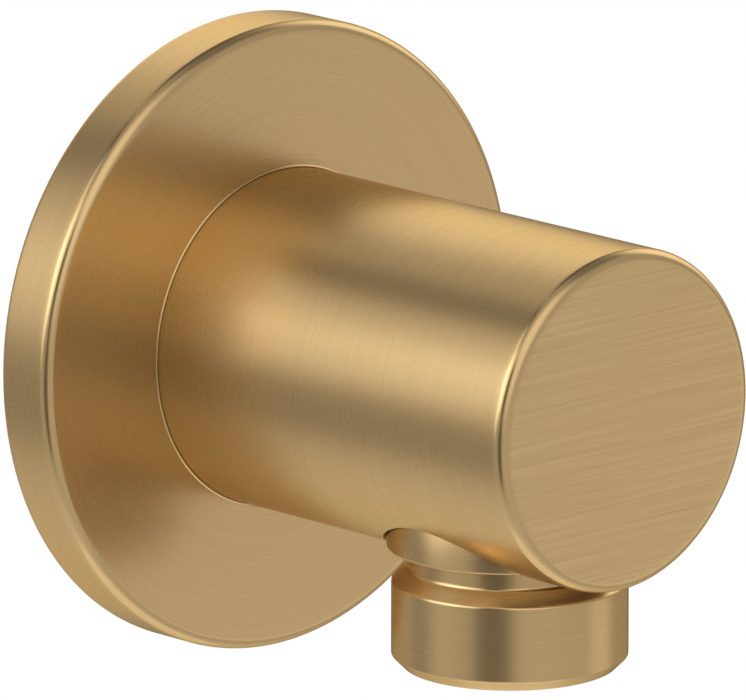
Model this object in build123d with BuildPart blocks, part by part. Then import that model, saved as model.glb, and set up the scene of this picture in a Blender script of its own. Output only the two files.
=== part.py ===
from build123d import *

import math
import os

# Wall outlet elbow for a hand shower, in millimetres.
# The wall is the plane y = 0. The body reaches out of it along -Y, and the inlet thread goes into it along +Y.
# The hose outlet points down, along -Z. The origin is the middle of the wall face, on the body's axis.
# A reach is a distance out from the wall, and a drop is a distance down from the body's axis.

# Pipe thread G 1/2 at both ends, turned as a smooth blank of its major diameter
thread_diameter = 20.955
thread_undercut_depth = 1.3175
thread_undercut_length = 1.8
thread_undercut_fillet = 0.5
thread_edge_round = 0.35
thread_end_chamfer = 1.0
hose_thread_length = 9.0
inlet_thread_length = 13.0

# Turned body with its front end closed
body_diameter = 30.6
body_edge_round = 1.0
body_back_reach = 1.0
body_back_chamfer = 0.5
nose_length = 14.5
outlet_reach = 35.0
waterway_diameter = 14.0
chamber_headroom = 1.0
body_wall = 4.3

# Wall flange, a disc with a hollow back that slides along the body
flange_diameter = 57.2
flange_thickness = 5.9
flange_edge_round = 1.0
flange_bore_chamfer = 0.2
flange_face_wall = 2.2
flange_rim_wall = 2.0
flange_hub_wall = 1.4
wall_gap = 0.4
grip_ring_thickness = 1.8
grip_ring_width = 2.3

# Inlet nipple, which stays in the wall while the body slides over its spigot
spigot_wall = 2.1
spigot_end_land = 1.2
spigot_end_chamfer = 0.6
spigot_end_gap = 0.3
inlet_ring_thickness = 1.8
inlet_ring_width = 2.2
inlet_groove_land = 1.0
inlet_hex_across_flats = 12.0

# Grub screw that clamps the body to the spigot from below
grub_diameter = 5.0
grub_tip_diameter = 2.5
grub_flange_gap = 1.6
grub_sink = 0.6
grub_chamfer = 0.4
grub_groove_depth = 1.2
grub_hex_across_flats = 2.5
grub_hex_depth = 2.0

# Outlet nipple, screwed up into the body against a washer
nipple_wall = 1.56
shank_wall = 1.4
shank_length = 6.5
collar_ledge = 1.92
collar_height = 3.77
collar_edge_chamfer = 0.2
seat_cover = 1.5
washer_thickness = 1.0
outlet_hex_across_flats = 12.0

# Non-return valve inside the outlet nipple
valve_recess = 1.5
cage_wall = 1.0
valve_seat_width = 2.0
valve_seat_thickness = 3.0
valve_seat_lead = 0.8
valve_flow_gap = 1.2
valve_seal_thickness = 1.2
valve_nose_gap = 0.7
valve_nose_setback = 0.8
valve_nose_chamfer = 1.5
poppet_disc_thickness = 1.2
valve_lift = 2.5
valve_lift_spare = 0.8
stem_diameter = 2.8
stem_end_setback = 1.0
guide_length = 3.0
guide_wall = 0.7
rib_count = 3
rib_width = 1.6
rib_height = 1.5
cage_ring_thickness = 1.0
cage_ring_width = 1.3
spring_wire = 0.5
spring_turns = 3.5

# Clearances
bore_clearance = 0.1
thread_clearance = 0.1
seal_clearance = 0.05
collar_clearance = 0.25
stem_clearance = 0.1
valve_seal_gap = 0.1
spring_clearance = 0.3

# Radii about the outlet axis
thread_radius = thread_diameter / 2
undercut_radius = thread_radius - thread_undercut_depth
pocket_radius = undercut_radius - nipple_wall
shank_radius = pocket_radius + shank_wall
collar_radius = shank_radius + collar_ledge
outlet_hole_radius = collar_radius + collar_clearance
cage_radius = pocket_radius - bore_clearance
cage_bore_radius = cage_radius - cage_wall
cage_groove_radius = pocket_radius - cage_ring_thickness - 2 * seal_clearance
cage_groove_width = cage_ring_width + 2 * seal_clearance
valve_seat_radius = cage_bore_radius - valve_seat_width
poppet_radius = cage_bore_radius - valve_flow_gap
nose_radius = valve_seat_radius - valve_nose_gap
stem_radius = stem_diameter / 2
guide_bore_radius = stem_radius + stem_clearance
guide_radius = guide_bore_radius + guide_wall
spring_radius = guide_radius + spring_clearance + spring_wire / 2

# Radii about the body's axis
body_radius = body_diameter / 2
socket_radius = body_radius - body_wall
waterway_radius = waterway_diameter / 2
chamber_top = waterway_radius + chamber_headroom
flange_radius = flange_diameter / 2
flange_bore_radius = body_radius + bore_clearance
grip_seat_radius = body_radius + grip_ring_thickness + 2 * seal_clearance
hub_radius = grip_seat_radius + flange_hub_wall
rim_radius = flange_radius - flange_rim_wall
spigot_radius = socket_radius - bore_clearance
inlet_groove_radius = socket_radius - inlet_ring_thickness - 2 * seal_clearance
inlet_bore_radius = inlet_groove_radius - spigot_wall

# Reaches, outwards from the wall
body_front = outlet_reach + nose_length
recess_reach = flange_thickness - flange_face_wall
grip_seat_reach = wall_gap + grip_ring_width
grub_radius = grub_diameter / 2
grub_tip_radius = grub_tip_diameter / 2
grub_reach = flange_thickness + grub_flange_gap + grub_radius
grub_groove_floor = grub_tip_radius + thread_clearance
grub_groove_mouth = grub_groove_floor + grub_groove_depth
inlet_ring_reach = grub_reach + grub_groove_mouth + inlet_groove_land + seal_clearance
inlet_groove_start = inlet_ring_reach - seal_clearance
inlet_groove_end = inlet_ring_reach + inlet_ring_width + seal_clearance
spigot_front = inlet_groove_end + spigot_end_land
socket_end = spigot_front + spigot_end_gap
inlet_end = wall_gap - inlet_thread_length
inlet_lead = wall_gap - thread_undercut_length

# Drops, downwards from the body's axis
seat_drop = math.sqrt(body_radius**2 - outlet_hole_radius**2) - seat_cover
collar_top = seat_drop + washer_thickness
collar_bottom = collar_top + collar_height
hose_lead = collar_bottom + thread_undercut_length
outlet_end = hose_lead + hose_thread_length
shank_top = collar_top - shank_length
cage_top = shank_top + valve_recess
valve_seat = cage_top + valve_seat_thickness
seal_top = valve_seat + valve_seal_gap
disc_top = seal_top + valve_seal_thickness
disc_bottom = disc_top + poppet_disc_thickness
guide_top = disc_bottom + valve_lift + valve_lift_spare
cage_bottom = guide_top + guide_length
cage_groove_drop = (cage_top + valve_seat) / 2
rib_top = cage_bottom - rib_height
stem_end = cage_bottom - stem_end_setback
grub_head = body_radius - grub_sink
grub_tip = spigot_radius - grub_groove_depth + thread_clearance

# Section planes hold radius across and reach or drop upwards. Face planes look the way that part points.
body_section = Plane(origin=(0, 0, 0), x_dir=(1, 0, 0), z_dir=(0, 0, -1))
body_face = Plane(origin=(0, 0, 0), x_dir=(1, 0, 0), z_dir=(0, -1, 0))
body_axis = Axis((0, 0, 0), (0, -1, 0))
outlet_section = Plane(origin=(0, -outlet_reach, 0), x_dir=(1, 0, 0), z_dir=(0, 1, 0))
outlet_face = Plane(origin=(0, -outlet_reach, 0), x_dir=(1, 0, 0), z_dir=(0, 0, -1))
outlet_axis = Axis((0, -outlet_reach, 0), (0, 0, -1))
grub_section = Plane(origin=(0, -grub_reach, 0), x_dir=(1, 0, 0), z_dir=(0, 1, 0))
grub_face = Plane(origin=(0, -grub_reach, 0), x_dir=(1, 0, 0), z_dir=(0, 0, -1))
grub_axis = Axis((0, -grub_reach, 0), (0, 0, -1))


def corner(section, radius, along):
    """The corner of a turned section that lies at this radius and reach or drop."""
    return section.vertices().sort_by_distance((radius, along))[0]


# Elbow body: a turned cylinder with a socket for the spigot, a waterway and the outlet's stepped hole
with BuildPart() as elbow_body:
    with BuildSketch(body_section) as body_profile:
        with BuildLine():
            Polyline(
                (0, outlet_reach),
                (0, body_front),
                (body_radius, body_front),
                (body_radius, body_back_reach),
                (socket_radius, body_back_reach),
                (socket_radius, socket_end),
                (waterway_radius, socket_end),
                (waterway_radius, outlet_reach),
                close=True,
            )
        make_face()
        fillet(corner(body_profile, body_radius, body_front), body_edge_round)
        chamfer(corner(body_profile, body_radius, body_back_reach), body_back_chamfer)
        chamfer(corner(body_profile, socket_radius, body_back_reach), body_back_chamfer)
    revolve(axis=body_axis)
    with BuildSketch(outlet_face.offset(-chamber_top)):
        Circle(shank_radius + thread_clearance)
    extrude(amount=chamber_top + body_radius, mode=Mode.SUBTRACT)
    with BuildSketch(outlet_face.offset(seat_drop)):
        Circle(outlet_hole_radius)
    extrude(amount=body_radius, mode=Mode.SUBTRACT)
    with BuildSketch(grub_face):
        Circle(grub_radius + thread_clearance)
    extrude(amount=body_radius, mode=Mode.SUBTRACT)

# Wall flange: a thin-walled disc with a rolled front edge and a hub that runs on the body
with BuildPart() as wall_flange:
    with BuildSketch(body_section) as flange_profile:
        with BuildLine():
            Polyline(
                (flange_bore_radius, grip_seat_reach),
                (grip_seat_radius, grip_seat_reach),
                (grip_seat_radius, wall_gap),
                (hub_radius, wall_gap),
                (hub_radius, recess_reach),
                (rim_radius, recess_reach),
                (rim_radius, 0),
                (flange_radius, 0),
                (flange_radius, flange_thickness),
                (flange_bore_radius, flange_thickness),
                close=True,
            )
        make_face()
        fillet(corner(flange_profile, flange_radius, flange_thickness), flange_edge_round)
        chamfer(corner(flange_profile, flange_bore_radius, flange_thickness), flange_bore_chamfer)
    revolve(axis=body_axis)

# Grip ring: the rubber ring in the back of the hub that holds the flange where it is pushed
with BuildPart() as grip_ring:
    with BuildSketch(body_face.offset(wall_gap)):
        Circle(grip_seat_radius - seal_clearance)
        Circle(body_radius + seal_clearance, mode=Mode.SUBTRACT)
    extrude(amount=grip_ring_width)

# Wall seal: the foam ring that fills the flange's hollow back and meets the tiles
with BuildPart() as wall_seal:
    with BuildSketch(body_face):
        Circle(rim_radius - bore_clearance)
        Circle(hub_radius + bore_clearance, mode=Mode.SUBTRACT)
    extrude(amount=recess_reach)

# Inlet nipple: pipe thread into the wall, spigot with a clamping groove and a seal groove towards the room
with BuildPart() as inlet_nipple:
    with BuildSketch(body_section) as inlet_profile:
        with BuildLine():
            Polyline(
                (0, inlet_end),
                (thread_radius, inlet_end),
                (thread_radius, inlet_lead - thread_undercut_depth),
                (undercut_radius, inlet_lead),
                (undercut_radius, wall_gap),
                (spigot_radius, wall_gap),
                (spigot_radius, grub_reach - grub_groove_mouth),
                (spigot_radius - grub_groove_depth, grub_reach - grub_groove_floor),
                (spigot_radius - grub_groove_depth, grub_reach + grub_groove_floor),
                (spigot_radius, grub_reach + grub_groove_mouth),
                (spigot_radius, inlet_groove_start),
                (inlet_groove_radius, inlet_groove_start),
                (inlet_groove_radius, inlet_groove_end),
                (spigot_radius, inlet_groove_end),
                (spigot_radius, spigot_front),
                (inlet_bore_radius, spigot_front),
                (inlet_bore_radius, wall_gap),
                (0, wall_gap),
                close=True,
            )
        make_face()
        chamfer(corner(inlet_profile, thread_radius, inlet_end), thread_end_chamfer)
        chamfer(corner(inlet_profile, spigot_radius, spigot_front), spigot_end_chamfer)
    revolve(axis=body_axis)
    with BuildSketch(body_face.offset(inlet_end)):
        RegularPolygon(inlet_hex_across_flats / 2, 6, major_radius=False)
    extrude(amount=inlet_thread_length, mode=Mode.SUBTRACT)

# Inlet ring: the rubber ring that seals the spigot in the body's socket
with BuildPart() as inlet_ring:
    with BuildSketch(body_face.offset(inlet_ring_reach)):
        Circle(socket_radius - seal_clearance)
        Circle(inlet_groove_radius + seal_clearance, mode=Mode.SUBTRACT)
    extrude(amount=inlet_ring_width)

# Grub screw: a headless screw with a hexagon socket and a blunt point in the spigot's groove
with BuildPart() as grub_screw:
    with BuildSketch(grub_section) as grub_profile:
        with BuildLine():
            Polyline(
                (0, grub_tip),
                (grub_tip_radius, grub_tip),
                (grub_radius, grub_tip + grub_radius - grub_tip_radius),
                (grub_radius, grub_head),
                (0, grub_head),
                close=True,
            )
        make_face()
        chamfer(corner(grub_profile, grub_radius, grub_head), grub_chamfer)
    revolve(axis=grub_axis)
    with BuildSketch(grub_face.offset(grub_head)):
        RegularPolygon(grub_hex_across_flats / 2, 6, major_radius=False)
    extrude(amount=-grub_hex_depth, mode=Mode.SUBTRACT)

# Outlet nipple: shank in the body, collar in the outlet hole, undercut and hose thread below
with BuildPart() as outlet_nipple:
    with BuildSketch(outlet_section) as nipple_profile:
        with BuildLine():
            Polyline(
                (pocket_radius, shank_top),
                (shank_radius, shank_top),
                (shank_radius, collar_top),
                (collar_radius, collar_top),
                (collar_radius, collar_bottom),
                (undercut_radius, collar_bottom),
                (undercut_radius, hose_lead),
                (thread_radius, hose_lead + thread_undercut_depth),
                (thread_radius, outlet_end - thread_end_chamfer),
                (thread_radius - thread_end_chamfer, outlet_end),
                (0, outlet_end),
                (0, cage_bottom),
                (pocket_radius, cage_bottom),
                close=True,
            )
        make_face()
        chamfer(corner(nipple_profile, collar_radius, collar_bottom), collar_edge_chamfer)
        fillet(corner(nipple_profile, undercut_radius, hose_lead), thread_undercut_fillet)
        fillet(corner(nipple_profile, thread_radius, hose_lead + thread_undercut_depth), thread_edge_round)
    revolve(axis=outlet_axis)
    with BuildSketch(outlet_face.offset(outlet_end)):
        RegularPolygon(outlet_hex_across_flats / 2, 6, major_radius=False)
    extrude(amount=cage_bottom - outlet_end, mode=Mode.SUBTRACT)

# Outlet washer: the flat washer between the collar and its seat in the body
with BuildPart() as outlet_washer:
    with BuildSketch(outlet_face.offset(seat_drop)):
        Circle(collar_radius)
        Circle(shank_radius + thread_clearance, mode=Mode.SUBTRACT)
    extrude(amount=washer_thickness)

# Valve cage: the moulded tube with the valve's seat above and a ribbed guide below
with BuildPart() as valve_cage:
    with BuildSketch(outlet_section) as cage_profile:
        with BuildLine():
            Polyline(
                (valve_seat_radius, cage_top),
                (cage_radius, cage_top),
                (cage_radius, cage_bottom),
                (cage_bore_radius, cage_bottom),
                (cage_bore_radius, valve_seat),
                (valve_seat_radius, valve_seat),
                close=True,
            )
        make_face()
        chamfer(corner(cage_profile, valve_seat_radius, cage_top), valve_seat_lead)
    revolve(axis=outlet_axis)
    with BuildSketch(outlet_section):
        with Locations((cage_radius, cage_groove_drop)):
            Rectangle(2 * (cage_radius - cage_groove_radius), cage_groove_width)
    revolve(axis=outlet_axis, mode=Mode.SUBTRACT)
    with BuildSketch(outlet_face.offset(rib_top)):
        with PolarLocations((stem_radius + cage_radius) / 2, rib_count):
            Rectangle(cage_radius - stem_radius - cage_wall, rib_width)
    extrude(amount=rib_height)
    with BuildSketch(outlet_face.offset(guide_top)):
        Circle(guide_radius)
    extrude(amount=guide_length)
    with BuildSketch(outlet_face.offset(guide_top)):
        Circle(guide_bore_radius)
    extrude(amount=guide_length, mode=Mode.SUBTRACT)

# Cage ring: the rubber ring that seals the cage in the nipple
with BuildPart() as cage_ring:
    with BuildSketch(outlet_face.offset(cage_groove_drop)):
        Circle(pocket_radius - seal_clearance)
        Circle(cage_groove_radius + seal_clearance, mode=Mode.SUBTRACT)
    extrude(amount=cage_ring_width / 2, both=True)

# Valve poppet: the moulded plunger with a round nose, a disc that carries the seal and a guided stem
with BuildPart() as valve_poppet:
    with BuildSketch(outlet_section) as poppet_profile:
        with BuildLine():
            Polyline(
                (0, cage_top + valve_nose_setback),
                (nose_radius, cage_top + valve_nose_setback),
                (nose_radius, disc_top),
                (poppet_radius, disc_top),
                (poppet_radius, disc_bottom),
                (stem_radius, disc_bottom),
                (stem_radius, stem_end),
                (0, stem_end),
                close=True,
            )
        make_face()
        chamfer(corner(poppet_profile, nose_radius, cage_top + valve_nose_setback), valve_nose_chamfer)
    revolve(axis=outlet_axis)

# Valve seal: the rubber ring on the poppet's disc that closes against the seat
with BuildPart() as valve_seal:
    with BuildSketch(outlet_face.offset(seal_top)):
        Circle(poppet_radius)
        Circle(nose_radius + seal_clearance, mode=Mode.SUBTRACT)
    extrude(amount=valve_seal_thickness)

# Valve spring: a coil of square wire from the cage's ribs up to the poppet's disc
spring_room = rib_top - disc_bottom - spring_wire - 2 * seal_clearance
spring_start = disc_bottom + seal_clearance + spring_wire / 2
with BuildPart() as valve_spring:
    with BuildLine() as coil:
        Helix(
            spring_room / spring_turns,
            spring_room,
            spring_radius,
            center=(0, -outlet_reach, -spring_start),
            direction=(0, 0, -1),
        )
    with BuildSketch(Plane(origin=coil.line @ 0, x_dir=(1, 0, 0), z_dir=coil.line % 0)):
        Rectangle(spring_wire, spring_wire)
    sweep(is_frenet=True)

pieces = {
    "elbow_body": elbow_body,
    "wall_flange": wall_flange,
    "grip_ring": grip_ring,
    "wall_seal": wall_seal,
    "inlet_nipple": inlet_nipple,
    "inlet_ring": inlet_ring,
    "grub_screw": grub_screw,
    "outlet_nipple": outlet_nipple,
    "outlet_washer": outlet_washer,
    "valve_cage": valve_cage,
    "cage_ring": cage_ring,
    "valve_poppet": valve_poppet,
    "valve_seal": valve_seal,
    "valve_spring": valve_spring,
}
os.makedirs("parts", exist_ok=True)
for name, piece in pieces.items():
    piece.part.label = name
    export_step(piece.part, f"parts/{name}.step")
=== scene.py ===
# %% [markdown]
# # A wall outlet elbow in brushed gold
# This lesson dresses a shower's wall outlet elbow: a round flange against the tiles, a plain cylinder
# that stands out of it, and a hose outlet that points down. The engineering model already has every piece
# at its real size. Here the pieces that the eye meets are turned again with finer rounds, and every
# surface gets its finish.

# %% Load the frame
import math
from collections import namedtuple

import bpy
from mathutils import Matrix, Vector


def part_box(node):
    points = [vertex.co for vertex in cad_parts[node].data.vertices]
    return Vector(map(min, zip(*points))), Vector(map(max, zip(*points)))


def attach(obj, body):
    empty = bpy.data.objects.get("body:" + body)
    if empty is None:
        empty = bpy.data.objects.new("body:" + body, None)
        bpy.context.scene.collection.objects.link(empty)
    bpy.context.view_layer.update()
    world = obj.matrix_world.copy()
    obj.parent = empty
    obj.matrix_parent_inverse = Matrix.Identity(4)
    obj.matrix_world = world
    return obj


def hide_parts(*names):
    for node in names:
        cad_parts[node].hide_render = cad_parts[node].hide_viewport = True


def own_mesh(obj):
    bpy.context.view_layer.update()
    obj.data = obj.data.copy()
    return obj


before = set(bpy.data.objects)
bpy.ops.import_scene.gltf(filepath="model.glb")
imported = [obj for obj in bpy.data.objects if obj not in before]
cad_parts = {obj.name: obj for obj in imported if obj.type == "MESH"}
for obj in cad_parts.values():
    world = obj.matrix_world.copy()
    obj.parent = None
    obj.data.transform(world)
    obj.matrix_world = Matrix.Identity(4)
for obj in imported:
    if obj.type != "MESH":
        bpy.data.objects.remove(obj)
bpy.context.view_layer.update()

mm = 0.001
print("nodes", sorted(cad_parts))

# %% [markdown]
# ## Sizes from the solids
# Every dressed piece stands exactly where its solid stood. So the main sizes are read from the boxes of
# the loaded solids, in millimetres, and only what a box can't tell, such as a wall or a groove, is
# written down under its own name. Along the body's axis a place counts out of the wall, and along the
# outlet's axis it counts down.

# %% Boxes of the solids
Turning = namedtuple("Turning", "radius start end")


def turned_size(node, on_outlet=False):
    """A turned solid's outer radius, and where it starts and ends along its axis, in millimetres."""
    low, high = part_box(node)
    start, end = (-high.z, -low.z) if on_outlet else (-high.y, -low.y)
    return Turning(high.x / mm, start / mm, end / mm)


def reach_of(node):
    """How far out of the wall the middle of a solid stands, in millimetres."""
    low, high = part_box(node)
    return -(low.y + high.y) / 2 / mm


outlet_reach = reach_of("outlet_nipple")
outlet_axis = Vector((0, -outlet_reach * mm, 0))
print("the outlet stands", round(outlet_reach, 2), "mm out of the wall")

# %% [markdown]
# ## One bench for every piece
# An operator acts on all that is selected, and the loaded nodes arrive selected. So each piece starts
# from an empty selection. Three small helpers do that, and pick points of a mesh by their place.


# %% Selection helpers
def clear_bench():
    """Leave edit mode and deselect everything."""
    if bpy.context.object and bpy.context.object.mode != "OBJECT":
        bpy.ops.object.mode_set(mode="OBJECT")
    bpy.ops.object.select_all(action="DESELECT")


def take(piece):
    """Make one piece the only selected and the active one."""
    clear_bench()
    piece.select_set(True)
    bpy.context.view_layer.objects.active = piece


def pick_points(piece, wanted):
    """In edit mode, select the points for which wanted(place) is true."""
    bpy.ops.mesh.select_all(action="DESELECT")
    bpy.ops.object.mode_set(mode="OBJECT")
    for point in piece.data.vertices:
        point.select = wanted(point.co)
    bpy.ops.object.mode_set(mode="EDIT")


clear_bench()
print("bench is clear")

# %% [markdown]
# ## A lathe
# The flange, the body and both nipples are turned parts. On a lathe a tool follows half of the section,
# so here the half section is drawn as a line of named corners, some corners are rounded, and Spin sweeps
# the line round the axis. Bevelling the corners of the line before the spin keeps each round exact, which
# a bevel on the finished mesh would not. Beside each round the line gets a holding point. Smooth shading
# blends over the edges of a face, and the narrow face between the round and the holding point takes up
# that blend, so that the long faces mirror as true flats.

# %% Half section
hair = 1e-6
holding_share = 0.5
chamfer_facets = 2


def section_point(radius, along, on_outlet=False):
    """A point of the half section, from millimetres. The body's axis runs along -Y, the outlet's along -Z."""
    if on_outlet:
        return outlet_axis + Vector((radius, 0, -along)) * mm
    return Vector((radius, -along, 0)) * mm


def with_holding_points(corners, rounds):
    """The corners in order, with a point on either side of each fine round where the line has room for it."""
    places = list(corners.values())
    line = []
    for number, (name, corner) in enumerate(corners.items()):
        size, facets = rounds.get(name, (0, 0))
        away = size * mm * (1 + holding_share) if facets > chamfer_facets else 0
        before, after = places[number - 1], places[(number + 1) % len(places)]
        if 0 < away < (before - corner).length / 2:
            line.append(corner + (before - corner).normalized() * away)
        line.append(corner)
        if 0 < away < (after - corner).length / 2:
            line.append(corner + (after - corner).normalized() * away)
    return line


print("points closer than", hair / mm, "mm count as one")

# %% The lathe
turn_steps = 256


def turned(name, outline, rounds, on_outlet=False, steps=turn_steps):
    """Turn a closed outline of named (radius, along) corners. A round is a size and its number of facets."""
    clear_bench()
    corners = {corner: section_point(*place, on_outlet) for corner, place in outline.items()}
    line = with_holding_points(corners, rounds)
    bpy.ops.mesh.primitive_plane_add(size=mm)
    piece = bpy.context.object
    piece.name = piece.data.name = name
    bpy.ops.object.mode_set(mode="EDIT")
    bpy.ops.mesh.merge(type="CENTER")
    bpy.ops.transform.translate(value=line[0])
    for here, there in zip(line, line[1:] + line[:1]):
        bpy.ops.mesh.extrude_region_move(TRANSFORM_OT_translate={"value": there - here})
    bpy.ops.mesh.select_all(action="SELECT")
    bpy.ops.mesh.remove_doubles(threshold=hair)
    for corner, (size, facets) in rounds.items():
        pick_points(piece, lambda place: (place - corners[corner]).length < hair)
        bpy.ops.mesh.bevel(
            affect="VERTICES", offset=size * mm, offset_type="OFFSET", segments=facets, profile=0.5
        )
    bpy.ops.mesh.select_all(action="SELECT")
    centre, axis = (outlet_axis, (0, 0, 1)) if on_outlet else ((0, 0, 0), (0, 1, 0))
    bpy.ops.mesh.spin(steps=steps, angle=math.tau, center=centre, axis=axis)
    bpy.ops.mesh.select_all(action="SELECT")
    bpy.ops.mesh.remove_doubles(threshold=hair)
    bpy.ops.mesh.normals_make_consistent(inside=False)
    bpy.ops.object.mode_set(mode="OBJECT")
    return piece


print("lathe ready with", turn_steps, "steps a turn")


# %% Shade and cut
def smooth(piece, degrees=32):
    """Shade a finished piece smooth, with its real edges kept sharp."""
    take(piece)
    bpy.ops.object.shade_smooth_by_angle(angle=math.radians(degrees))
    low, high = (Vector(corner) for corner in (piece.bound_box[0], piece.bound_box[6]))
    print(piece.name, len(piece.data.polygons), "faces, mm", [round(side / mm, 2) for side in high - low])


def cut(piece, tool):
    """Cut the tool out of the piece, and put the tool away."""
    take(piece)
    knife = piece.modifiers.new("cut", "BOOLEAN")
    knife.object = tool
    knife.operation = "DIFFERENCE"
    knife.solver = "EXACT"
    bpy.ops.object.modifier_apply(modifier="cut")
    bpy.data.objects.remove(tool)


print("shading and cutting are ready")

# %% [markdown]
# ## Wall flange
# The flange is a disc that hides the hole in the tiles. It is pushed along the body until it meets the
# wall. Its front edge is rolled over by a round that catches a thin line of light. Its bore has a
# burnished lip, a low bead that runs close round the body and shows as a bright hairline. The back is
# hollow, with a hub round the body. A bevelled cylinder could give the disc, but one outline for the
# lathe gives the hollow and the lip as well.

# %% Sizes of the flange
flange_radius, wall, flange_front = turned_size("wall_flange")
body_radius, body_back, body_front = turned_size("elbow_body")
grip_radius, grip_back, grip_front = turned_size("grip_ring")
foam_size = turned_size("wall_seal")
bore_gap, seal_gap, hub_wall = 0.1, 0.05, 1.4
bore_radius = body_radius + bore_gap
grip_seat = grip_radius + seal_gap
hub_radius = grip_seat + hub_wall
rim_inside, hollow_depth = foam_size.radius + bore_gap, foam_size.end
lip_gap, lip_top, lip_height = 0.03, 0.1, 0.09
lip_depth, lip_relief = 0.4, 0.2
lip_radius = body_radius + lip_gap
lip_front = flange_front + lip_height
lip_back = flange_front - lip_depth
flange_round, rear_round = 1.0, 0.4
print("flange", round(2 * flange_radius, 2), "mm across, bore", round(2 * bore_radius, 2), "mm")

# %% Turn the flange
flange_outline = {
    "bore, back": (bore_radius, grip_front),
    "grip seat, front": (grip_seat, grip_front),
    "grip seat, back": (grip_seat, grip_back),
    "hub, back": (hub_radius, grip_back),
    "hub, root": (hub_radius, hollow_depth),
    "rim, root": (rim_inside, hollow_depth),
    "rim, inside": (rim_inside, wall),
    "rim, back": (flange_radius, wall),
    "rim, front": (flange_radius, flange_front),
    "lip, foot": (lip_radius + lip_top + lip_height, flange_front),
    "lip, outside": (lip_radius + lip_top, lip_front),
    "lip, inside": (lip_radius, lip_front),
    "lip, back": (lip_radius, lip_back),
    "bore, front": (bore_radius, lip_back - lip_relief),
}
flange_rounds = {
    "rim, front": (flange_round, 12),
    "lip, outside": (0.05, 4),
    "lip, inside": (0.03, 3),
    "rim, back": (rear_round, 6),
    "rim, inside": (0.12, 2),
}
flange = turned("flange_turned", flange_outline, flange_rounds)
smooth(flange)

# %% [markdown]
# ## Elbow body
# The body is bar stock with a closed front end and a rounded front edge. From behind it is bored for the
# spigot and the waterway. From below it takes the outlet in a stepped hole, whose sharp edge runs up and
# down like a saddle where it meets the cylinder. A saddle edge is hard to draw point by point, so the
# holes are real cuts with round tools, which find that edge by themselves: a drill, a counterbore and the
# hole for the grub screw.

# %% Turn the body
spigot_radius, inlet_end, spigot_end = turned_size("inlet_nipple")
spigot_end_gap, waterway_radius = 0.3, 7.0
socket_radius = spigot_radius + bore_gap
socket_floor = spigot_end + spigot_end_gap
body_round, back_chamfer = 1.0, 0.5
body_outline = {
    "front, middle": (0.0, body_front),
    "front, edge": (body_radius, body_front),
    "back, edge": (body_radius, body_back),
    "socket, mouth": (socket_radius, body_back),
    "socket, floor": (socket_radius, socket_floor),
    "waterway, mouth": (waterway_radius, socket_floor),
    "waterway, end": (waterway_radius, outlet_reach),
    "waterway, middle": (0.0, outlet_reach),
}
body_rounds = {
    "front, edge": (body_round, 12),
    "back, edge": (back_chamfer, 1),
    "socket, mouth": (back_chamfer, 1),
}
body = turned("body_turned", body_outline, body_rounds)
print("body", round(2 * body_radius, 2), "mm across,", round(body_front, 2), "mm out of the wall")


# %% Drill the body
def drill(radius, reach, top, bottom, facets):
    """An upright drill on the body's middle plane, from top to bottom, in millimetres."""
    clear_bench()
    middle = Vector((0, -reach, (top + bottom) / 2)) * mm
    bpy.ops.mesh.primitive_cylinder_add(
        vertices=facets, radius=radius * mm, depth=(top - bottom) * mm, location=middle
    )
    bpy.ops.object.transform_apply(location=True, rotation=True, scale=True)
    return bpy.context.object


collar_radius, nipple_top, outlet_end = turned_size("outlet_nipple", on_outlet=True)
seat_drop, collar_top = turned_size("outlet_washer", on_outlet=True)[1:]
grub_radius, grub_reach = turned_size("grub_screw").radius, reach_of("grub_screw")
collar_ledge, collar_gap, headroom = 1.92, 0.25, 1.0
shank_radius = collar_radius - collar_ledge
below_body = -1.2 * body_radius
cut(body, drill(shank_radius + bore_gap, outlet_reach, waterway_radius + headroom, below_body, facets=192))
cut(body, drill(collar_radius + collar_gap, outlet_reach, -seat_drop, below_body, facets=256))
cut(body, drill(grub_radius + bore_gap, grub_reach, 0.0, below_body, facets=96))
smooth(body)

# %% [markdown]
# ## Outlet nipple
# The nipple carries the hose. From the top down it has a shank that holds it in the body, a collar that
# fills the hole, a neck, a sloped shoulder with a soft edge, the ring that takes the hose nut, and a
# chamfer at the mouth. The ring is left plain, as it is in the photograph. A hexagon for a key runs up the
# middle. The outside is one outline for the lathe, and the hexagon is cut afterwards, as a broach would
# cut it.

# %% Turn the outlet nipple
thread_diameter, undercut = 20.955, 1.3175
shank_wall, collar_height, neck_length, mouth_chamfer = 1.4, 3.77, 1.8, 1.0
thread_radius = thread_diameter / 2
neck_radius = thread_radius - undercut
pocket_radius = shank_radius - shank_wall
collar_bottom = collar_top + collar_height
neck_bottom = collar_bottom + neck_length
cage_bottom = turned_size("valve_cage", on_outlet=True).end
nipple_outline = {
    "pocket, top": (pocket_radius, nipple_top),
    "shank, top": (shank_radius, nipple_top),
    "shank, bottom": (shank_radius, collar_top),
    "collar, top": (collar_radius, collar_top),
    "collar, bottom": (collar_radius, collar_bottom),
    "neck, top": (neck_radius, collar_bottom),
    "neck, bottom": (neck_radius, neck_bottom),
    "shoulder": (thread_radius, neck_bottom + undercut),
    "ring, bottom": (thread_radius, outlet_end - mouth_chamfer),
    "mouth": (thread_radius - mouth_chamfer, outlet_end),
    "mouth, middle": (0.0, outlet_end),
    "pocket, middle": (0.0, cage_bottom),
    "pocket, floor": (pocket_radius, cage_bottom),
}
nipple_rounds = {
    "shank, top": (0.2, 2),
    "collar, top": (0.2, 2),
    "collar, bottom": (0.22, 4),
    "neck, bottom": (0.21, 6),
    "shoulder": (0.17, 6),
    "ring, bottom": (0.1, 4),
    "mouth": (0.06, 3),
}
outlet_nipple = turned("outlet_nipple_turned", nipple_outline, nipple_rounds, on_outlet=True)
print("outlet ring", round(2 * thread_radius, 3), "mm across")

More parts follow.
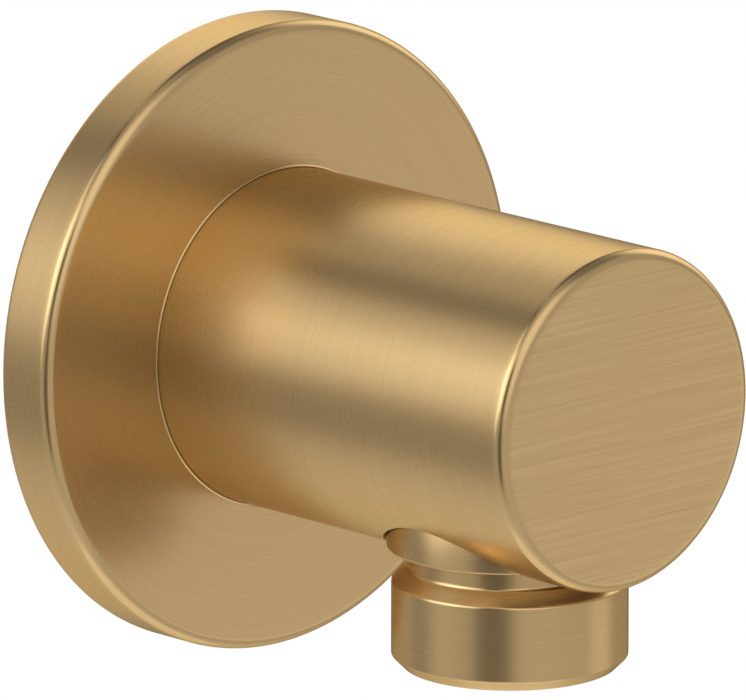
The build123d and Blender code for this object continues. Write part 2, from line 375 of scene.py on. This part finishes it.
# %% Broach the hexagon
key_size, key_overcut = 12.0, 0.5
lead_radius, lead_spread = 7.0, 0.6


def stand(tool, along, on_outlet):
    """Bring a tool that was made upright at the origin to a place along the axis that it cuts on."""
    if not on_outlet:
        tool.data.transform(Matrix.Rotation(math.radians(90), 4, "X"))
    tool.data.transform(Matrix.Translation(section_point(0, along, on_outlet)))
    return tool


def hexagon(start, end, on_outlet=False):
    """A hexagon key as a tool to cut with. It runs a little past both ends."""
    clear_bench()
    corner_radius, length = key_size / math.sqrt(3), end - start + 2 * key_overcut
    bpy.ops.mesh.primitive_cylinder_add(vertices=6, radius=corner_radius * mm, depth=length * mm)
    key = bpy.context.object
    key.data.transform(Matrix.Rotation(math.radians(30), 4, "Z"))
    return stand(key, (start + end) / 2, on_outlet)


def lead_in(mouth, on_outlet=False):
    """A blunt cone that opens the mouth of the hexagon, with its middle on the mouth."""
    clear_bench()
    wide, narrow = lead_radius + lead_spread, lead_radius - lead_spread
    bpy.ops.mesh.primitive_cone_add(
        vertices=128, radius1=wide * mm, radius2=narrow * mm, depth=(wide - narrow) * mm
    )
    return stand(bpy.context.object, mouth, on_outlet)


cut(outlet_nipple, hexagon(cage_bottom, outlet_end, on_outlet=True))
cut(outlet_nipple, lead_in(outlet_end, on_outlet=True))
smooth(outlet_nipple)

# %% [markdown]
# ## Inlet nipple
# The inlet nipple stays behind in the wall. It has a G 1/2 pipe thread with 14 turns to the inch, an
# undercut, and a spigot with two grooves, one for the tip of the grub screw and one for a rubber ring. A
# die cuts such a thread as one long groove, so the groove is made as a coil with a blunt wedge for a
# section and then cut from the blank. That lets the thread run out by itself in the undercut, which a
# ridge laid on the blank would not.

# %% Turn the inlet nipple
ring_radius, ring_back, ring_front = turned_size("inlet_ring")
ring_thickness, grub_tip_radius, groove_depth = 1.8, 1.25, 1.2
thread_stop = grip_back
neck_back = thread_stop - neck_length
groove_half = grub_tip_radius + bore_gap
ring_floor = ring_radius - ring_thickness - seal_gap
inlet_outline = {
    "mouth, middle": (0.0, inlet_end),
    "mouth": (thread_radius, inlet_end),
    "thread, end": (thread_radius, neck_back - undercut),
    "neck, back": (neck_radius, neck_back),
    "neck, front": (neck_radius, thread_stop),
    "spigot, back": (spigot_radius, thread_stop),
    "screw groove, back": (spigot_radius, grub_reach - groove_half - groove_depth),
    "screw groove, floor back": (spigot_radius - groove_depth, grub_reach - groove_half),
    "screw groove, floor front": (spigot_radius - groove_depth, grub_reach + groove_half),
    "screw groove, front": (spigot_radius, grub_reach + groove_half + groove_depth),
    "ring groove, back": (spigot_radius, ring_back - seal_gap),
    "ring groove, floor back": (ring_floor, ring_back - seal_gap),
    "ring groove, floor front": (ring_floor, ring_front + seal_gap),
    "ring groove, front": (spigot_radius, ring_front + seal_gap),
    "spigot, front": (spigot_radius, spigot_end),
    "waterway, front": (waterway_radius, spigot_end),
    "waterway, back": (waterway_radius, thread_stop),
    "waterway, middle": (0.0, thread_stop),
}
inlet_rounds = {
    "mouth": (1.0, 1),
    "neck, back": (0.2, 3),
    "spigot, front": (0.6, 1),
    "screw groove, back": (0.08, 2),
    "screw groove, front": (0.08, 2),
}
inlet_nipple = turned("inlet_nipple_threaded", inlet_outline, inlet_rounds, steps=192)
cut(inlet_nipple, hexagon(inlet_end, thread_stop))
cut(inlet_nipple, lead_in(inlet_end))
print("spigot", round(2 * spigot_radius, 2), "mm across, hexagon", key_size, "mm")

# %% Wind the thread's groove
inch, turns_to_the_inch = 25.4, 14
depth_share, root_share, flank_degrees = 0.6403, 0.12, 27.5
groove_turns, groove_steps, groove_overcut, run_in = 7, 96, 0.1, 0.5
pitch = inch / turns_to_the_inch
thread_depth = depth_share * pitch
root_radius, crest_radius = thread_radius - thread_depth, thread_radius + groove_overcut
root_half = root_share * pitch
crest_half = root_half + math.tan(math.radians(flank_degrees)) * (thread_depth + groove_overcut)
wedge = [
    (root_radius, -root_half),
    (root_radius, root_half),
    (crest_radius, -crest_half),
    (crest_radius, crest_half),
]
clear_bench()
bpy.ops.mesh.primitive_plane_add(size=mm)
groove = bpy.context.object
groove_start = section_point(0, neck_back - run_in)
for point, (radius, along) in zip(groove.data.vertices, wedge):
    point.co = groove_start + Vector((radius, along, 0)) * mm
winding = groove.modifiers.new("winding", "SCREW")
winding.axis = "Y"
winding.angle = math.tau
winding.screw_offset = pitch * mm
winding.iterations = groove_turns
winding.steps = winding.render_steps = groove_steps
winding.use_merge_vertices = False
bpy.ops.object.modifier_apply(modifier="winding")
print("groove winds", groove_turns, "turns with a pitch of", round(pitch, 3), "mm")

# %% Cut the thread
bpy.ops.object.mode_set(mode="EDIT")
bpy.ops.mesh.select_all(action="SELECT")
bpy.ops.mesh.remove_doubles(threshold=hair)
bpy.ops.mesh.fill_holes(sides=len(wedge))
bpy.ops.mesh.normals_make_consistent(inside=False)
bpy.ops.object.mode_set(mode="OBJECT")
cut(inlet_nipple, groove)
smooth(inlet_nipple)

# %% [markdown]
# ## Foam, rings and washer
# A ring of closed cell foam in the flange's hollow back keeps splashes out of the wall. Rubber rings seal
# the rest: one grips the body, one sits on the spigot, one lies on the outlet's collar, one goes round the
# valve's cage and one is the valve's own seal. Moulded rubber has no sharp corners, so each ring is turned
# with its corners rounded. The box of a solid gives a ring's outside and its two ends, so only its
# thickness and its corner are written down.

# %% Turn the soft rings
soft_rings = {
    "wall_seal": {"thickness": 7.8, "corner": 0.45},
    "grip_ring": {"thickness": 1.8, "corner": 0.3},
    "inlet_ring": {"thickness": ring_thickness, "corner": 0.5},
    "outlet_washer": {"thickness": 1.82, "corner": 0.15},
    "cage_ring": {"thickness": 1.0, "corner": 0.35},
    "valve_seal": {"thickness": 1.45, "corner": 0.2},
}
rings_on_outlet = ("outlet_washer", "cage_ring", "valve_seal")
rings = {}
for node, size in soft_rings.items():
    on_outlet = node in rings_on_outlet
    outer, start, end = turned_size(node, on_outlet)
    inner = outer - size["thickness"]
    square = {
        "inside, start": (inner, start),
        "outside, start": (outer, start),
        "outside, end": (outer, end),
        "inside, end": (inner, end),
    }
    rounds = {corner: (size["corner"], 4) for corner in square}
    rings[node] = turned(node + "_moulded", square, rounds, on_outlet, steps=128)
    smooth(rings[node])

# %% [markdown]
# ## Valve spring
# A light coil of stainless wire holds the non-return valve shut. Screw winds the wire's round section up
# a helix. The first and the last half turn are then laid flat, as on a real spring, so that it stands
# square on the ribs below and under the disc above. A bevelled curve could be the wire too, but here the
# points lie ring after ring along it, so a point's number tells how far along it is.

# %% Wind the spring
wire, wire_facets = 0.5, 12
coil_turns, coil_steps = 4, 40
rib_height, disc_thickness, spring_gap = 1.5, 1.2, 0.05
seal_bottom = turned_size("valve_seal", on_outlet=True).end
coil_radius = turned_size("valve_spring").radius - wire / 2
ribs_top = cage_bottom - rib_height
spring_top = seal_bottom + disc_thickness + spring_gap
coil_bottom = ribs_top - spring_gap - wire / 2
coil_height = (coil_bottom - spring_top - wire / 2) * mm
clear_bench()
bpy.ops.mesh.primitive_circle_add(
    vertices=wire_facets, radius=wire / 2 * mm, rotation=(math.radians(90), 0, 0)
)
spring = bpy.context.object
spring.name = spring.data.name = "valve_spring_wound"
bpy.ops.object.transform_apply(location=True, rotation=True, scale=True)
spring.data.transform(Matrix.Translation((coil_radius * mm, 0, 0)))
winding = spring.modifiers.new("winding", "SCREW")
winding.angle = math.tau
winding.screw_offset = coil_height / coil_turns
winding.iterations = coil_turns
winding.steps = winding.render_steps = coil_steps
winding.use_merge_vertices = False
bpy.ops.object.modifier_apply(modifier="winding")
print("coil", round(coil_height / mm, 2), "mm high with", coil_turns, "turns")

# %% Lay the ends flat
flat_share = 0.5 / coil_turns
for number, point in enumerate(spring.data.vertices):
    along = (number // wire_facets) / (coil_turns * coil_steps)
    risen = min(max((along - flat_share) / (1 - 2 * flat_share), 0), 1)
    point.co.z += (risen - along) * coil_height
spring.data.transform(Matrix.Translation(section_point(0, coil_bottom, on_outlet=True)))
bpy.ops.object.mode_set(mode="EDIT")
bpy.ops.mesh.select_all(action="SELECT")
bpy.ops.mesh.fill_holes(sides=wire_facets)
bpy.ops.mesh.normals_make_consistent(inside=False)
bpy.ops.object.mode_set(mode="OBJECT")
smooth(spring, degrees=50)

# %% [markdown]
# ## Camera
# The photograph is a long shot from the left and above, so its upright edges stay nearly parallel. A very
# long lens at a distance gives the same view. The lens is worked out for a picture 746 pixels wide, and
# the camera is placed by the point that it aims at, its compass angle from the front of the part, how far
# it looks down and its distance.

# %% Camera
compass, look_down = math.radians(-43.746), math.radians(13.862)
camera_distance, aim_left, aim_up = 1177.47, 8.61, 3.0
focal_pixels, picture_width, sensor_width = 13374.0, 746, 36
middle_reach = 30.0
part_middle = Vector((0, -middle_reach, 0)) * mm
to_the_right = Vector((math.cos(compass), math.sin(compass), 0))
to_the_camera = Vector((math.sin(compass), -math.cos(compass), math.tan(look_down))).normalized()
aim = part_middle + (Vector((0, 0, aim_up)) - to_the_right * aim_left) * mm
bpy.ops.object.camera_add()
camera = bpy.context.object
camera.location = aim + to_the_camera * camera_distance * mm
camera.rotation_euler = (math.radians(90) - look_down, 0, compass)
camera.data.sensor_width = sensor_width
camera.data.lens = focal_pixels / picture_width * sensor_width
bpy.context.scene.camera = camera
print("lens", round(camera.data.lens, 1), "mm at", [round(value, 3) for value in camera.location])

# %% [markdown]
# ## Helpers for the finishes
# Colours are written as they look on a screen, so one function turns them to the linear light that a
# shader counts in. Another small function adds a node with its settings and links.


# %% Colour and nodes
def linear(hex_colour):
    """An sRGB colour such as D1B17E as linear red, green, blue and alpha."""
    shares = [int(hex_colour[i : i + 2], 16) / 255 for i in (0, 2, 4)]
    return [s / 12.92 if s <= 0.04045 else ((s + 0.055) / 1.055) ** 2.4 for s in shares] + [1.0]


def add(tree, kind, inputs=None, **settings):
    """Add a node. An input is a value, or the socket that feeds it."""
    node = tree.nodes.new(kind)
    for name, value in settings.items():
        setattr(node, name, value)
    for name, value in (inputs or {}).items():
        if isinstance(value, bpy.types.NodeSocket):
            tree.links.new(value, node.inputs[name])
        else:
            node.inputs[name].default_value = value
    return node


def new_material(name):
    """A material with no nodes yet, and its node tree."""
    material = bpy.data.materials.new(name)
    material.use_nodes = True
    material.node_tree.nodes.clear()
    return material, material.node_tree


print("a mid grey of 808080 counts as", round(linear("808080")[0], 3))

# %% [markdown]
# ## A map that follows the brush
# Brushing leaves fine scratches. Light spreads across them far more than along them, which draws out
# every reflection. The shader needs to know which way they run, on flat faces as well as on round ones.
# So each turned piece gets a map called brush, whose first axis runs across the scratches, in metres, and
# whose second goes round with them, in turns. The body's front face was brushed straight, from side to
# side.

# %% Brush map
skin, facing_front = 0.1, 0.999


def brush_map(piece, on_outlet=False, slope=-1.0, is_straight=lambda face: False):
    """Write the map. Slope mixes the radius into the first axis, so that a chamfer has a direction too."""
    chart = piece.data.uv_layers.new(name="brush")
    centre = outlet_axis if on_outlet else Vector()
    for face in piece.data.polygons:
        middle = face.center - centre
        reference = math.atan2(middle.y, middle.x) if on_outlet else math.atan2(middle.z, middle.x)
        straight = is_straight(face)
        for loop in face.loop_indices:
            place = piece.data.vertices[piece.data.loops[loop].vertex_index].co - centre
            if straight:
                chart.data[loop].uv = (place.z, place.x)
                continue
            side, along = (place.y, -place.z) if on_outlet else (place.z, -place.y)
            radius = math.hypot(place.x, side)
            angle = math.atan2(side, place.x) if radius > hair else reference
            angle = reference + (angle - reference + math.pi) % math.tau - math.pi
            chart.data[loop].uv = (along + slope * radius, angle / math.tau)


def on_front_face(face):
    """True on the flat front of the body."""
    return face.normal.y < -facing_front and -face.center.y > (body_front - skin) * mm


brush_map(flange)
brush_map(body, is_straight=on_front_face)
brush_map(outlet_nipple, on_outlet=True, slope=0.4)
brush_map(inlet_nipple)
print("brush maps on", [piece.name for piece in (flange, body, outlet_nipple, inlet_nipple)])

# %% [markdown]
# ## Brush marks
# The real scratches lie less than a tenth of a millimetre apart, too fine to show in the picture. So they
# are drawn coarser, a quarter of a millimetre apart and some 20 mm long. The pattern is a noise that is
# squeezed across the brush. Painted lines would look drawn with a ruler, and noise gives marks that fade
# in and out. Round a turned piece the noise is read on a circle, so that it closes without a seam.

# %% Brush marks
mark_spacing, mark_length = 0.25 * mm, 20.0 * mm
circle_radius = 15.0 * mm


def brush_marks(tree, straight):
    """Fine lighter and darker marks along the brush, as a value from 0 to 1."""
    chart = add(tree, "ShaderNodeUVMap", uv_map="brush")
    axes = add(tree, "ShaderNodeSeparateXYZ", {"Vector": chart.outputs["UV"]})
    across = add(tree, "ShaderNodeMath", {0: axes.outputs["X"], 1: 1 / mark_spacing}, operation="MULTIPLY")
    if straight:
        along = add(tree, "ShaderNodeMath", {0: axes.outputs["Y"], 1: 1 / mark_length}, operation="MULTIPLY")
        brush = add(tree, "ShaderNodeCombineXYZ", {"X": along.outputs[0], "Z": across.outputs[0]})
    else:
        turn = add(tree, "ShaderNodeMath", {0: axes.outputs["Y"], 1: math.tau}, operation="MULTIPLY")
        cosine = add(tree, "ShaderNodeMath", {0: turn.outputs[0]}, operation="COSINE")
        sine = add(tree, "ShaderNodeMath", {0: turn.outputs[0]}, operation="SINE")
        circle = add(tree, "ShaderNodeCombineXYZ", {"X": cosine.outputs[0], "Y": sine.outputs[0]})
        reach = circle_radius / mark_length
        along = add(tree, "ShaderNodeVectorMath", {0: circle.outputs[0], "Scale": reach}, operation="SCALE")
        lift = add(tree, "ShaderNodeCombineXYZ", {"Z": across.outputs[0]})
        brush = add(tree, "ShaderNodeVectorMath", {0: along.outputs[0], 1: lift.outputs[0]}, operation="ADD")
    noise = add(
        tree,
        "ShaderNodeTexNoise",
        {"Vector": brush.outputs[0], "Scale": 1.0, "Detail": 1.0, "Roughness": 0.6},
        noise_dimensions="3D",
    )
    return noise.outputs["Fac"]


print("brush marks", mark_spacing / mm, "mm apart and", mark_length / mm, "mm long")

# %% [markdown]
# ## Brushed gold and turned brass
# The outside is brass with a thin gold coating over the brushed metal. The marks show as faint lighter
# and darker lines, and they pull reflections out sideways. The finest scratches send about an eighth of
# the light all round, which a pure metal would not do, so that share is left to a matte gold. Edges are
# burnished smoother and mirror more sharply. The bores and the inlet are bare brass with the coarser
# marks of the lathe.


# %% Brushed metal
def brushed_metal(name, tones, rim, roughness, pull, spread=0.015, haze=0.0, straight=False):
    """Metal with marks in two tones. Rim tints a glancing look, pull draws reflections out, haze is matte."""
    material, tree = new_material(name)
    marks = brush_marks(tree, straight)
    light, deep = tones
    between = {"Factor": marks, "A": linear(deep), "B": linear(light)}
    tone = add(tree, "ShaderNodeMix", between, data_type="RGBA")
    limits = {"Value": marks, "To Min": roughness + spread, "To Max": roughness - spread}
    rough = add(tree, "ShaderNodeMapRange", limits)
    tangent = add(tree, "ShaderNodeTangent", direction_type="UV_MAP", uv_map="brush")
    metal = add(
        tree,
        "ShaderNodeBsdfPrincipled",
        {
            "Base Color": tone.outputs["Result"],
            "Metallic": 1.0 - haze,
            "Specular Tint": linear(rim),
            "Roughness": rough.outputs["Result"],
            "Anisotropic": pull,
            "Tangent": tangent.outputs["Tangent"],
        },
    )
    add(tree, "ShaderNodeOutputMaterial", {"Surface": metal.outputs["BSDF"]})
    return material


print("brushed metal follows the map called brush")

# %% Gold and brass
gold_rim, gold_haze = "E9D4AE", 0.13
turned_tones = ("D6B683", "CCAC79")
straight_tones = ("DFBF8C", "C3A370")
brass_tones, brass_rim = ("D8B873", "C29E58"), "D9BE80"
brushed_roughness, brushed_pull = 0.27, 0.55
edge_roughness, edge_pull = 0.18, 0.2
# Brushed round the axis: a soft sheen that the scratches pull out along the body
gold_round = brushed_metal(
    "brushed gold, turned", turned_tones, gold_rim, brushed_roughness, brushed_pull, haze=gold_haze
)
# Brushed from side to side: a calm, even face with fine straight lines
gold_straight = brushed_metal(
    "brushed gold, straight",
    straight_tones,
    gold_rim,
    brushed_roughness,
    brushed_pull,
    haze=gold_haze,
    straight=True,
)
# Burnished edge: a sharper mirror, so that each round draws one bright line and one dark line
gold_edge = brushed_metal(
    "brushed gold, burnished edge", turned_tones, gold_rim, edge_roughness, edge_pull, haze=gold_haze
)
# Bare turned brass: yellower and duller than the gold, with uneven lathe marks
brass = brushed_metal("turned brass", brass_tones, brass_rim, roughness=0.3, pull=0.4, spread=0.08)
print("made", [material.name for material in (gold_round, gold_straight, gold_edge, brass)])

# %% [markdown]
# ## Steel, rubber, foam and plastic
# The hidden pieces have plain finishes that still vary a little. Each pattern is a noise or a cell
# pattern with a grain in millimetres, a little coarser than the real one so that it shows. It moves the
# colour between two tones, the roughness between two values and, where there is a depth, the surface in
# and out. One recipe serves all four, so that they differ only in their numbers.


# %% Plain finish
def plain_finish(name, tones, roughness, grain, depth=0.0, metallic=0.0, cells=False):
    """A finish whose tone and roughness follow a pattern with this grain and depth, in millimetres."""
    material, tree = new_material(name)
    place = add(tree, "ShaderNodeTexCoord")
    kind, value = ("ShaderNodeTexVoronoi", "Distance") if cells else ("ShaderNodeTexNoise", "Fac")
    pattern = add(tree, kind, {"Vector": place.outputs["Object"], "Scale": 1 / (grain * mm)})
    height = pattern.outputs[value]
    light, deep = tones
    between = {"Factor": height, "A": linear(deep), "B": linear(light)}
    tone = add(tree, "ShaderNodeMix", between, data_type="RGBA")
    low_end, high_end = roughness
    rough = add(tree, "ShaderNodeMapRange", {"Value": height, "To Min": low_end, "To Max": high_end})
    surface = add(
        tree,
        "ShaderNodeBsdfPrincipled",
        {"Base Color": tone.outputs["Result"], "Metallic": metallic, "Roughness": rough.outputs["Result"]},
    )
    if depth:
        bump = add(tree, "ShaderNodeBump", {"Height": height, "Distance": depth * mm, "Strength": 1.0})
        tree.links.new(bump.outputs["Normal"], surface.inputs["Normal"])
    add(tree, "ShaderNodeOutputMaterial", {"Surface": surface.outputs["BSDF"]})
    return material


print("one recipe for the plain finishes")

# %% Hidden finishes
# Drawn stainless steel: a cool grey gleam with duller patches
steel = plain_finish("drawn stainless steel", ("CFCDC8", "B4B1AB"), (0.22, 0.4), grain=0.6, metallic=1.0)
# Satin black rubber: nearly black, with a weak broad sheen and a faintly uneven skin
rubber = plain_finish("satin black rubber", ("242426", "171718"), (0.42, 0.6), grain=0.9, depth=0.02)
# Closed cell foam: dark grey and dull, with its cut cells as small pits
foam = plain_finish("closed cell foam", ("3A3B3E", "1B1C1E"), (0.95, 0.8), grain=0.7, depth=0.25, cells=True)
# Moulded white acetal: a clean white with a soft gloss and pale clouds
acetal = plain_finish("moulded white acetal", ("ECECE6", "DEDED6"), (0.36, 0.5), grain=4.0)
print("made", [material.name for material in (steel, rubber, foam, acetal)])

# %% [markdown]
# ## Put the finishes on
# A finish goes on face by face, by place. The rounds of the flange, the body and the outlet and the lip
# of the bore take the burnished edge, the front of the body the straight brushing, and the bores the bare
# brass. Separate pieces for the edges would open seams, so each piece stays whole and only its faces
# differ.

# %% Finish by place
edge_margin, lip_margin = 0.05, 0.001


def finish_faces(piece, finishes, choose):
    """Put the finishes on the piece, and give each face the one that choose(face) returns."""
    for finish in finishes:
        piece.data.materials.append(finish)
    for face in piece.data.polygons:
        face.material_index = finishes.index(choose(face))
    chosen = [face.material_index for face in piece.data.polygons]
    print(piece.name, {finish.name: chosen.count(number) for number, finish in enumerate(finishes)})


def flange_finish(face):
    """Burnished on both rounds of the rim and on the lip."""
    radius, reach = math.hypot(face.center.x, face.center.z) / mm, -face.center.y / mm
    inward = flange_radius - radius
    on_front_round = inward < flange_round and flange_front - reach < flange_round
    on_rear_round = max(inward, reach - wall) < rear_round + edge_margin
    on_lip = reach > flange_front + lip_margin
    return gold_edge if on_front_round or on_rear_round or on_lip else gold_round


def body_finish(face):
    """Straight brushing on the front face, burnished on its round, brass inside."""
    radius, reach = math.hypot(face.center.x, face.center.z) / mm, -face.center.y / mm
    if on_front_face(face):
        return gold_straight
    if body_front - reach < body_round:
        return gold_edge
    inside = radius < body_radius - skin and reach > body_back + back_chamfer + skin
    return brass if inside else gold_round


def outlet_finish(face):
    """Burnished where a corner of the outline is rounded."""
    place = face.center - outlet_axis
    radius, drop = math.hypot(place.x, place.y) / mm, -place.z / mm
    for corner, (size, facets) in nipple_rounds.items():
        corner_radius, corner_drop = nipple_outline[corner]
        if math.hypot(radius - corner_radius, drop - corner_drop) < size:
            return gold_edge
    return gold_round


finish_faces(flange, [gold_round, gold_edge], flange_finish)
finish_faces(body, [gold_round, gold_edge, gold_straight, brass], body_finish)
finish_faces(outlet_nipple, [gold_round, gold_edge], outlet_finish)

# %% Finish the hidden pieces
inlet_nipple.data.materials.append(brass)
for node, ring in rings.items():
    ring.data.materials.append(foam if node == "wall_seal" else rubber)
spring.data.materials.append(steel)
for node, finish in (("grub_screw", steel), ("valve_cage", acetal), ("valve_poppet", acetal)):
    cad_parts[node].data.materials.clear()
    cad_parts[node].data.materials.append(finish)
print("finished the inlet,", len(rings), "rings, the spring and 3 loaded nodes")

# %% [markdown]
# ## Join the mechanism
# Each new piece takes the place of the solid of the same name and rides on its body, so it moves with the
# mechanism. Only the valve's seal rides on the valve. The spring stands on the ribs of the cage.

# %% Ride on the bodies
for piece, node, finish in (
    (flange, "wall_flange", "brushed_gold"),
    (body, "elbow_body", "brushed_gold"),
    (outlet_nipple, "outlet_nipple", "brushed_gold"),
    (inlet_nipple, "inlet_nipple", "plain_brass"),
    (rings["wall_seal"], "wall_seal", "foam_rubber"),
    (rings["grip_ring"], "grip_ring", "black_rubber"),
    (rings["inlet_ring"], "inlet_ring", "black_rubber"),
    (rings["outlet_washer"], "outlet_washer", "black_rubber"),
    (rings["cage_ring"], "cage_ring", "black_rubber"),
    (rings["valve_seal"], "valve_seal", "black_rubber"),
    (spring, "valve_spring", "stainless_steel"),
):
    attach(piece, "valve" if node == "valve_seal" else "elbow")
    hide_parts(node)
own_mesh(spring)

# %% [markdown]
# ## Studio
# Brushed metal shows what stands round it, so the studio is built for its reflections. The part hangs in
# a tent of pale cloth over a round white table. Soft boxes glow through the cloth and black cards darken
# it, and that draws the bright and dark bands along the body. Lamps alone would leave the metal black
# between their highlights. Each box or card is a round patch on the tent with a soft edge, placed by its
# compass angle from the front of the part, its height and its size, all in degrees as seen from the part.
# The last number is what it adds to the cloth's own glow, or takes away.

# %% Soft boxes and black cards
soft_boxes = {
    "left window": (-125, 35, 25, 1.4),
    "foot of the left window": (-115, 15, 25, 1.3),
    "side of the left window": (-94, 25, 25, 1.3),
    "front box": (-25, 35, 45, 0.7),
    "right box": (90, 25, 30, 1.15),
    "rear box": (150, 25, 30, 1.0),
    "low right box": (55, -20, 20, 0.4),
    "pale floor in front": (0, -20, 55, 0.15),
    "bounce from the table": (180, -80, 65, 0.4),
}
black_cards = {
    "low left card": (-60, -15, 25, -0.45),
    "card beside the window": (-60, 20, 20, -0.75),
    "card below the window": (-140, -15, 20, -0.2),
    "high left card": (-135, 40, 30, -0.65),
    "high right card": (45, 60, 30, -0.3),
    "far right card": (140, 65, 25, -0.45),
    "card behind the part": (135, -15, 25, -0.45),
}
print(len(soft_boxes), "soft boxes and", len(black_cards), "black cards")

# %% [markdown]
# The camera looks in through the cloth. A mirrored ray always meets the tent, so Cycles need not aim
# extra rays at it, and the picture is done sooner.

# %% Light tent
tent_radius, tent_glow, darkest_glow, soft_edge = 0.9, 0.48, 0.1, 0.1
clear_bench()
bpy.ops.mesh.primitive_uv_sphere_add(segments=64, ring_count=32, radius=tent_radius, location=part_middle)
tent = bpy.context.object
tent.name = "light_tent"
bpy.ops.object.transform_apply(location=True, rotation=True, scale=True)
tent.visible_camera = False
# Lit tent cloth: soft bright and dark areas for the metal to mirror
cloth, tree = new_material("lit tent cloth")
cloth.cycles.emission_sampling = "NONE"
place = add(tree, "ShaderNodeTexCoord")
outward = add(
    tree, "ShaderNodeVectorMath", {0: place.outputs["Object"], 1: part_middle}, operation="SUBTRACT"
)
direction = add(tree, "ShaderNodeVectorMath", {0: outward.outputs[0]}, operation="NORMALIZE")
glow = tent_glow
for *angles, strength in (soft_boxes | black_cards).values():
    turn, height, size = (math.radians(angle) for angle in angles)
    axis = (math.sin(turn) * math.cos(height), -math.cos(turn) * math.cos(height), math.sin(height))
    facing = add(tree, "ShaderNodeVectorMath", {0: direction.outputs[0], 1: axis}, operation="DOT_PRODUCT")
    patch = add(
        tree,
        "ShaderNodeMapRange",
        {
            "Value": facing.outputs["Value"],
            "From Min": math.cos(size),
            "From Max": math.cos(size * soft_edge),
            "To Max": strength,
        },
        interpolation_type="SMOOTHSTEP",
    )
    glow = add(tree, "ShaderNodeMath", {0: glow, 1: patch.outputs["Result"]}, operation="ADD").outputs[0]
glow = add(tree, "ShaderNodeMath", {0: glow, 1: darkest_glow}, operation="MAXIMUM")
light = add(tree, "ShaderNodeEmission", {"Strength": glow.outputs[0]})
add(tree, "ShaderNodeOutputMaterial", {"Surface": light.outputs[0]})
tent.data.materials.append(cloth)
print("tent", 2 * tent_radius, "m across")

# %% [markdown]
# The table top is pale and matte. Seen by the camera or mirrored in the metal it glows up to white, and
# where the part keeps light off it, its shadow stays. From below it is clear, so that it never hides the
# part. The room beyond is white in the same way, and neither puts more light on the part.

# %% Round table
table_radius, table_drop, table_white, table_glow = 0.2, 0.4, 0.8, 0.5
clear_bench()
bpy.ops.mesh.primitive_circle_add(
    vertices=96, radius=table_radius, fill_type="NGON", location=part_middle - Vector((0, 0, table_drop))
)
table = bpy.context.object
table.name = "round_table"
bpy.ops.object.transform_apply(location=True, rotation=True, scale=True)


def seen_directly(tree):
    """One for a ray from the camera, a mirrored ray or a ray through glass, else zero."""
    path = add(tree, "ShaderNodeLightPath")
    camera_ray, mirrored_ray = path.outputs["Is Camera Ray"], path.outputs["Is Glossy Ray"]
    either = add(tree, "ShaderNodeMath", {0: camera_ray, 1: mirrored_ray}, operation="MAXIMUM")
    glass_ray = path.outputs["Is Transmission Ray"]
    return add(tree, "ShaderNodeMath", {0: either.outputs[0], 1: glass_ray}, operation="MAXIMUM").outputs[0]


# Pale table top: a white ground that still holds a soft shadow
pale, tree = new_material("pale table top")
pale.cycles.emission_sampling = "NONE"
top = add(tree, "ShaderNodeBsdfDiffuse", {"Color": (table_white, table_white, table_white, 1)})
strength = add(tree, "ShaderNodeMath", {0: seen_directly(tree), 1: table_glow}, operation="MULTIPLY")
shine = add(tree, "ShaderNodeEmission", {"Strength": strength.outputs[0]})
both = add(tree, "ShaderNodeAddShader", {0: top.outputs[0], 1: shine.outputs[0]})
below = add(tree, "ShaderNodeNewGeometry").outputs["Backfacing"]
clear = add(tree, "ShaderNodeBsdfTransparent")
one_way = add(tree, "ShaderNodeMixShader", {0: below, 1: both.outputs[0], 2: clear.outputs[0]})
add(tree, "ShaderNodeOutputMaterial", {"Surface": one_way.outputs[0]})
table.data.materials.append(pale)
print("table at", round(table.data.vertices[0].co.z, 3), "m")

# %% White room
scene = bpy.context.scene
scene.view_settings.view_transform = "Standard"
room = bpy.data.worlds.new("white room")
scene.world = room
room.use_nodes = True
room.cycles.sampling_method = "NONE"
tree = room.node_tree
tree.nodes.clear()
white = add(tree, "ShaderNodeBackground", {"Color": (1, 1, 1, 1), "Strength": seen_directly(tree)})
add(tree, "ShaderNodeOutputWorld", {"Surface": white.outputs[0]})
print("room is white, view transform is", scene.view_settings.view_transform)
